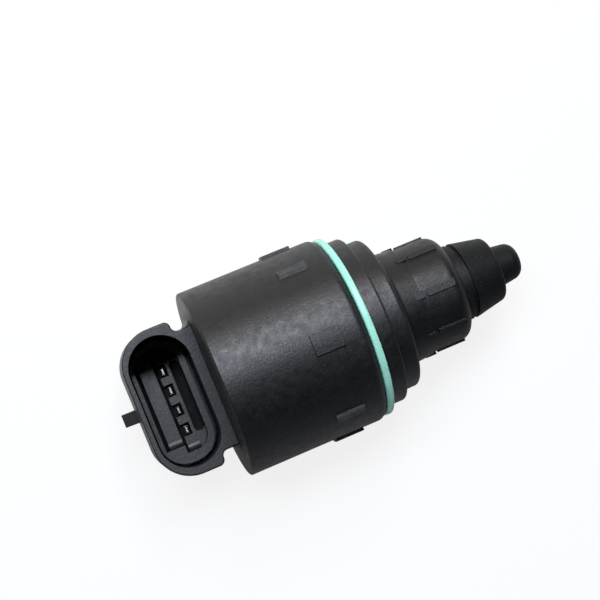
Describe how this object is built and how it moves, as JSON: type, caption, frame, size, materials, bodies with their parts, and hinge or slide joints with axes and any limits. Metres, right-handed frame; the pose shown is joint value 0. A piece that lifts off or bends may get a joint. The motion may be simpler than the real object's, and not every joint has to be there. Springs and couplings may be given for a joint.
{
  "type": "idle air control valve",
  "caption": "Linear stepper idle air valve: round moulded motor housing with a pin connector, stepped sealing spigot, ribbed nose and a conical pintle that slides along the axis.",
  "frame": {"origin": "on the valve's axis, at the step where the pilot ring leaves the sealing spigot", "axes": "+X along the valve's axis towards the pintle tip, +Z the way the connector opens, +Y across"},
  "size_m": [0.0825, 0.0382, 0.0382],
  "materials": {
    "housing_nylon": "satin moulded",
    "nose_nylon": "satin moulded",
    "pintle_plastic": "satin moulded",
    "seal_rubber": "smooth",
    "tinned_terminal": "bright tin",
    "stator_steel": "zinc plated sheet",
    "bobbin_nylon": "natural",
    "copper_winding": "enamelled copper wire",
    "ferrite": "moulded ferrite",
    "hub_plastic": "moulded",
    "sintered_bronze": "sintered",
    "washer_steel": "stamped",
    "bearing_steel": "ground",
    "cage_brass": "turned",
    "screw_steel": "rolled",
    "spring_steel": "drawn wire"
  },
  "bodies": {
    "valve_housing": {"motor_housing": "housing_nylon", "front_cover": "housing_nylon", "nose_cap": "nose_nylon", "mounting_seal": "seal_rubber", "terminal_1": "tinned_terminal", "terminal_2": "tinned_terminal", "terminal_3": "tinned_terminal", "terminal_4": "tinned_terminal", "rear_stator_cup": "stator_steel", "rear_pole_plate": "stator_steel", "front_pole_plate": "stator_steel", "front_stator_cup": "stator_steel", "rear_bobbin": "bobbin_nylon", "front_bobbin": "bobbin_nylon", "rear_winding": "copper_winding", "front_winding": "copper_winding", "rear_bush": "sintered_bronze", "thrust_washer": "washer_steel", "spring_seat": "washer_steel", "pintle_spring": "spring_steel", "bearing_outer_ring": "bearing_steel"},
    "rotor": {"rotor_hub": "hub_plastic", "rotor_magnet": "ferrite", "bearing_inner_ring": "bearing_steel"},
    "ball_set": {"bearing_balls": "bearing_steel", "bearing_cage": "cage_brass"},
    "pintle_rod": {"pintle": "pintle_plastic", "lead_screw": "screw_steel"}
  },
  "joints": [
    {"name": "rotor_spin", "type": "hinge", "parent": "valve_housing", "child": "rotor", "pos_m": [0, 0, 0], "axis": [1, 0, 0], "range_deg": [-2340, 540]},
    {"name": "pintle_slide", "type": "slide", "parent": "valve_housing", "child": "pintle_rod", "axis": [1, 0, 0], "range_m": [-0.00152, 0.00652], "deforming": ["pintle_spring"]},
    {"name": "ball_set_spin", "type": "hinge", "parent": "valve_housing", "child": "ball_set", "pos_m": [0, 0, 0], "axis": [1, 0, 0], "range_deg": [-940, 220]}
  ],
  "couplings": [
    {"joint": "pintle_slide", "follows": "rotor_spin", "m_per_rad": -0.00015915},
    {"joint": "ball_set_spin", "follows": "rotor_spin", "ratio": 0.4}
  ]
}
